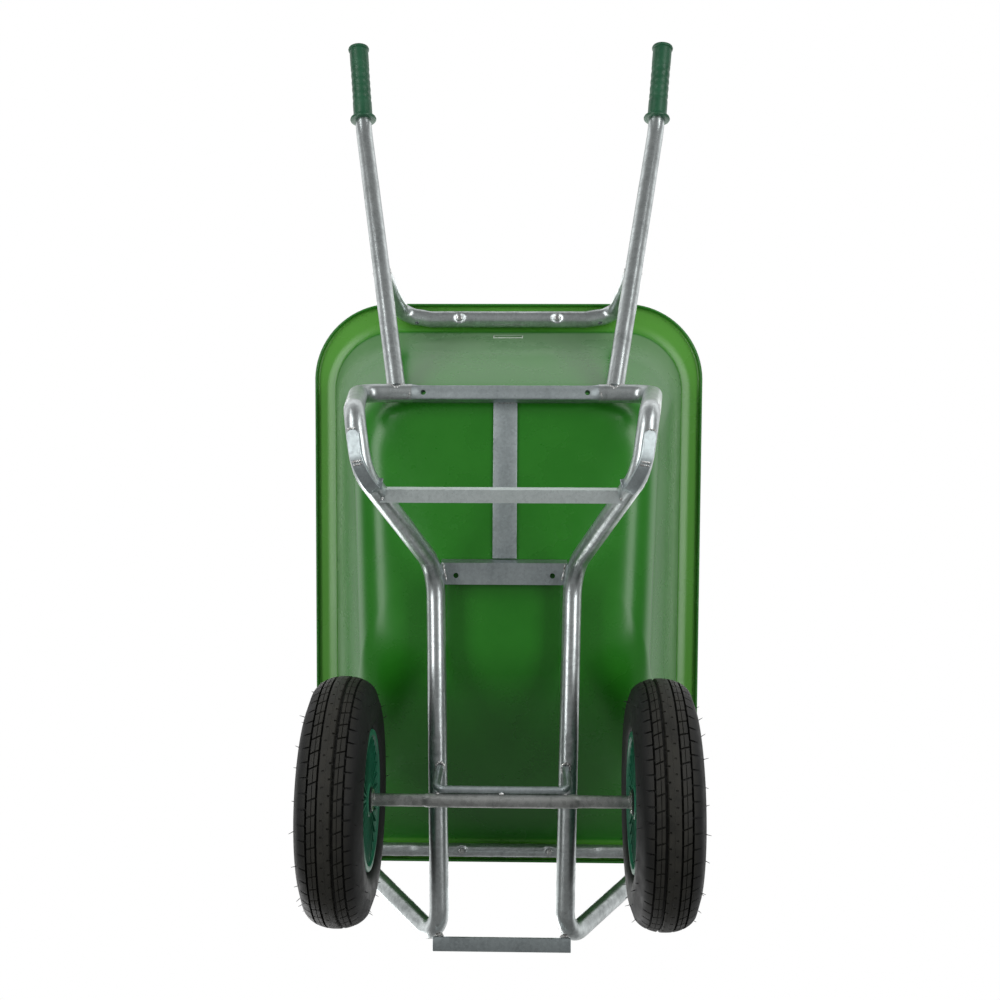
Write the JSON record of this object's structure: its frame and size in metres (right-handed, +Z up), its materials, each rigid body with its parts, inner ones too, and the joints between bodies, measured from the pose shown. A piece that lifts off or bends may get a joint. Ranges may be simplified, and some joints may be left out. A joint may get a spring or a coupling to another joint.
{
  "type": "twin-wheel wheelbarrow",
  "caption": "Garden wheelbarrow with a deep moulded tray on a bent tube frame, pneumatic wheels side by side on one axle, looped tube feet and gripped handles.",
  "frame": {"origin": "middle of the footprint box, on the ground the tyres and foot skids stand on", "axes": "+Z up, -Y towards the nose, +Y towards the grips, +X to the left of the person pushing the barrow"},
  "size_m": [0.764, 1.6997, 0.6503],
  "materials": {
    "green_plastic": "moulded, fine grain, satin",
    "galvanised_steel": "hot-dip galvanised, satin with spangle",
    "zinc_plated_steel": "bright zinc plate",
    "dark_green_grip": "soft moulded PVC, satin",
    "dark_green_rim": "moulded, half gloss",
    "tyre_rubber": "matt rubber, dusty tread",
    "inner_tube_rubber": "matt butyl",
    "black_nylon": "moulded nylon, satin",
    "white_label": "blank printed film"
  },
  "bodies": {
    "frame": {"tray": "green_plastic", "label_plate": "white_label", "left_frame_tube": "galvanised_steel", "right_frame_tube": "galvanised_steel", "left_handle_tube": "galvanised_steel", "right_handle_tube": "galvanised_steel", "rear_rim_hoop": "galvanised_steel", "front_cross_tube": "galvanised_steel", "rear_cross_bar": "galvanised_steel", "front_angle_bar": "galvanised_steel", "leg_brace": "galvanised_steel", "centre_strap": "galvanised_steel", "nose_bar": "galvanised_steel", "left_skid_plate": "galvanised_steel", "right_skid_plate": "galvanised_steel", "axle": "galvanised_steel", "axle_bracket": "galvanised_steel", "left_grip": "dark_green_grip", "right_grip": "dark_green_grip", "rear_left_bolt": "zinc_plated_steel", "rear_left_washer": "zinc_plated_steel", "rear_left_nut": "zinc_plated_steel", "rear_right_bolt": "zinc_plated_steel", "rear_right_washer": "zinc_plated_steel", "rear_right_nut": "zinc_plated_steel", "front_left_bolt": "zinc_plated_steel", "front_left_washer": "zinc_plated_steel", "front_left_nut": "zinc_plated_steel", "front_right_bolt": "zinc_plated_steel", "front_right_washer": "zinc_plated_steel", "front_right_nut": "zinc_plated_steel", "left_inner_washer": "zinc_plated_steel", "left_outer_washer": "zinc_plated_steel", "left_inner_split_pin": "zinc_plated_steel", "left_outer_split_pin": "zinc_plated_steel", "right_inner_washer": "zinc_plated_steel", "right_outer_washer": "zinc_plated_steel", "right_inner_split_pin": "zinc_plated_steel", "right_outer_split_pin": "zinc_plated_steel"},
    "left_wheel": {"left_tyre": "tyre_rubber", "left_inner_tube": "inner_tube_rubber", "left_rim": "dark_green_rim", "left_inner_bush": "black_nylon", "left_outer_bush": "black_nylon", "left_valve_stem": "black_nylon", "left_valve_cap": "black_nylon"},
    "right_wheel": {"right_tyre": "tyre_rubber", "right_inner_tube": "inner_tube_rubber", "right_rim": "dark_green_rim", "right_inner_bush": "black_nylon", "right_outer_bush": "black_nylon", "right_valve_stem": "black_nylon", "right_valve_cap": "black_nylon"}
  },
  "joints": [
    {"name": "left_wheel_spin", "type": "hinge", "parent": "frame", "child": "left_wheel", "pos_m": [0.2525, -0.59235, 0.195], "axis": [1, 0, 0], "continuous": true},
    {"name": "right_wheel_spin", "type": "hinge", "parent": "frame", "child": "right_wheel", "pos_m": [-0.2525, -0.59235, 0.195], "axis": [1, 0, 0], "continuous": true}
  ]
}
